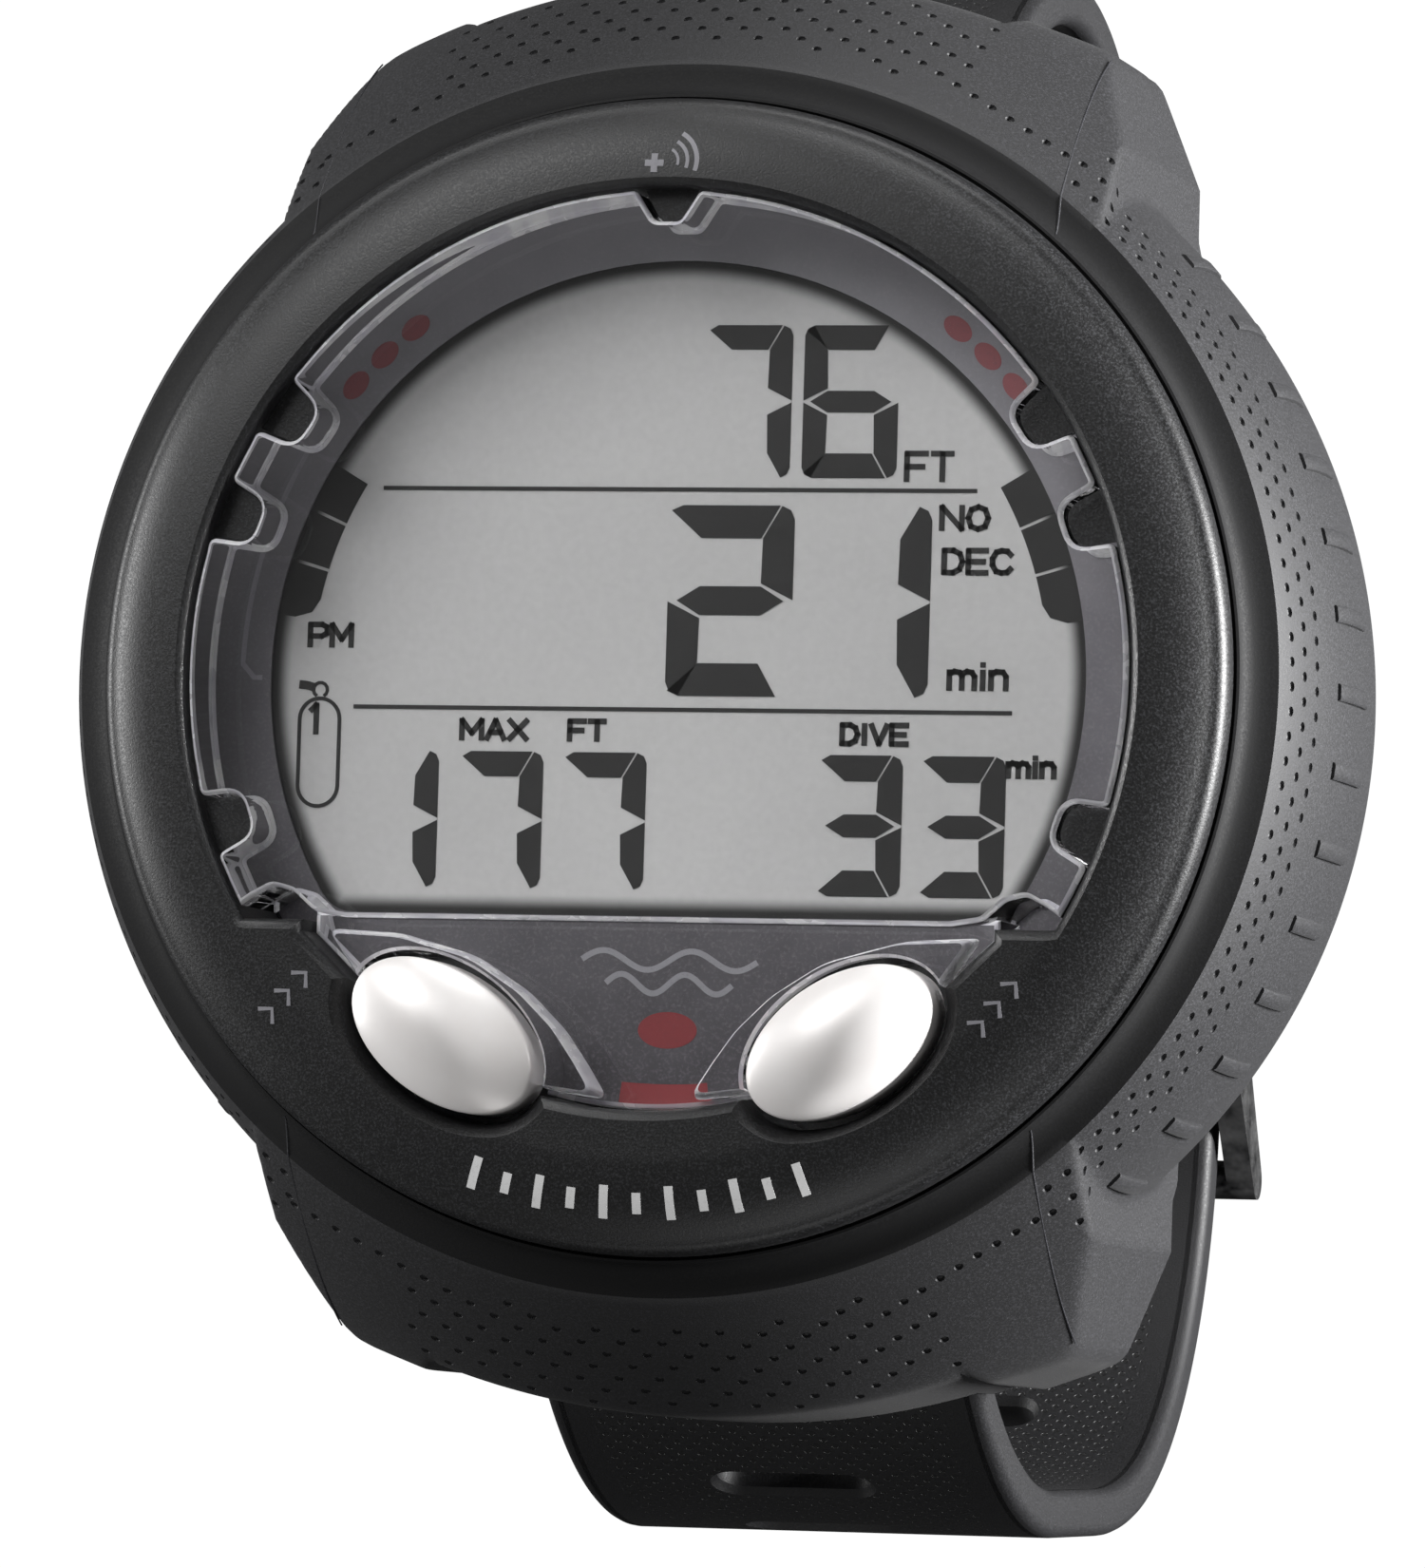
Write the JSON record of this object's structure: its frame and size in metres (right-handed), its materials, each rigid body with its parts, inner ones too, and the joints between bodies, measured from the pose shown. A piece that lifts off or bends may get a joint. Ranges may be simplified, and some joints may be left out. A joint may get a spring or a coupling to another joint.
{
  "type": "wrist dive computer",
  "caption": "Round wrist dive computer: segment display under a clear window, oval press buttons, rubber boot with lugs, and a buckled rubber strap closed in a loop.",
  "frame": {"origin": "centre of the flat case back, at the middle of the battery hatch", "axes": "+Z is the way the display faces, +Y is 12 o'clock, +X is 3 o'clock"},
  "size_m": [0.0754, 0.0945, 0.0986],
  "materials": {
    "bezel_plastic": "fine spark-eroded black polycarbonate",
    "boot_rubber": "matte moulded silicone rubber",
    "brass_disc": "plain brass",
    "buckle_steel": "bead-blasted dark steel",
    "button_satin": "bead-blasted pearl nickel",
    "case_plastic": "matte black glass-filled nylon",
    "cell_steel": "nickel-plated steel",
    "chip_plastic": "black epoxy",
    "circuit_board": "green solder mask",
    "connector_rubber": "banded elastomer",
    "diffuser": "milky acrylic",
    "display_glass": "grey reflective display glass",
    "gold_contact": "gold-plated",
    "hatch_plastic": "matte black acetal",
    "holder_plastic": "white moulded plastic",
    "led_clear": "tinted epoxy",
    "lens_clear": "polished clear polycarbonate",
    "mask_film": "printed grey film",
    "seal_rubber": "black nitrile",
    "stainless": "turned stainless steel",
    "strap_rubber": "matte moulded polyurethane rubber"
  },
  "bodies": {
    "case": {"alarm_led": "led_clear", "battery": "cell_steel", "battery_contacts": "gold_contact", "board_parts": "chip_plastic", "boot": "boot_rubber", "button_switches": "chip_plastic", "buzzer": "brass_disc", "data_cap": "boot_rubber", "data_contacts": "gold_contact", "dial_mask": "mask_film", "front_housing": "bezel_plastic", "hatch_cover": "hatch_plastic", "hatch_seal": "seal_rubber", "housing_screws": "stainless", "housing_seal": "seal_rubber", "keeper_rear": "strap_rubber", "lcd_backlight": "diffuser", "lcd_connectors": "connector_rubber", "lcd_glass": "display_glass", "lcd_holder": "holder_plastic", "left_seal": "seal_rubber", "left_spring": "stainless", "lens": "lens_clear", "lower_pin": "stainless", "lower_strap": "strap_rubber", "main_board": "circuit_board", "pressure_sensor": "stainless", "rear_housing": "case_plastic", "right_seal": "seal_rubber", "right_spring": "stainless", "sensor_guard": "stainless", "sensor_seal": "seal_rubber", "upper_pin": "stainless", "upper_strap": "strap_rubber", "water_contacts": "stainless"},
    "left_button_body": {"left_button": "button_satin", "left_plunger": "stainless", "left_clip": "stainless"},
    "right_button_body": {"right_button": "button_satin", "right_plunger": "stainless", "right_clip": "stainless"},
    "hatch_lock": {"hatch_ring": "hatch_plastic"},
    "buckle": {"buckle_frame": "buckle_steel", "buckle_bar": "stainless"},
    "tongue": {"buckle_tongue": "buckle_steel"},
    "front_keeper": {"keeper_front": "strap_rubber"}
  },
  "joints": [
    {"name": "left_press", "type": "slide", "parent": "case", "child": "left_button_body", "axis": [0, 0, -1], "range_m": [0, 0.0012], "stiffness_N_per_m": 1500, "springref_m": -0.0006, "deforming": ["left_spring"]},
    {"name": "right_press", "type": "slide", "parent": "case", "child": "right_button_body", "axis": [0, 0, -1], "range_m": [0, 0.0012], "stiffness_N_per_m": 1500, "springref_m": -0.0006, "deforming": ["right_spring"]},
    {"name": "hatch_turn", "type": "hinge", "parent": "case", "child": "hatch_lock", "pos_m": [0, 0, 0.0008], "axis": [0, 0, 1], "range_deg": [0, 30]},
    {"name": "buckle_swing", "type": "hinge", "parent": "case", "child": "buckle", "pos_m": [0, -0.0155, -0.05659], "axis": [1, 0, 0], "range_deg": [0, 4]},
    {"name": "tongue_swing", "type": "hinge", "parent": "buckle", "child": "tongue", "pos_m": [0, -0.0155, -0.05659], "axis": [1, 0, 0], "range_deg": [0, 4]},
    {"name": "front_keeper_slide", "type": "slide", "parent": "case", "child": "front_keeper", "axis": [0, 1, 0], "range_m": [-0.0025, 0.009]}
  ]
}
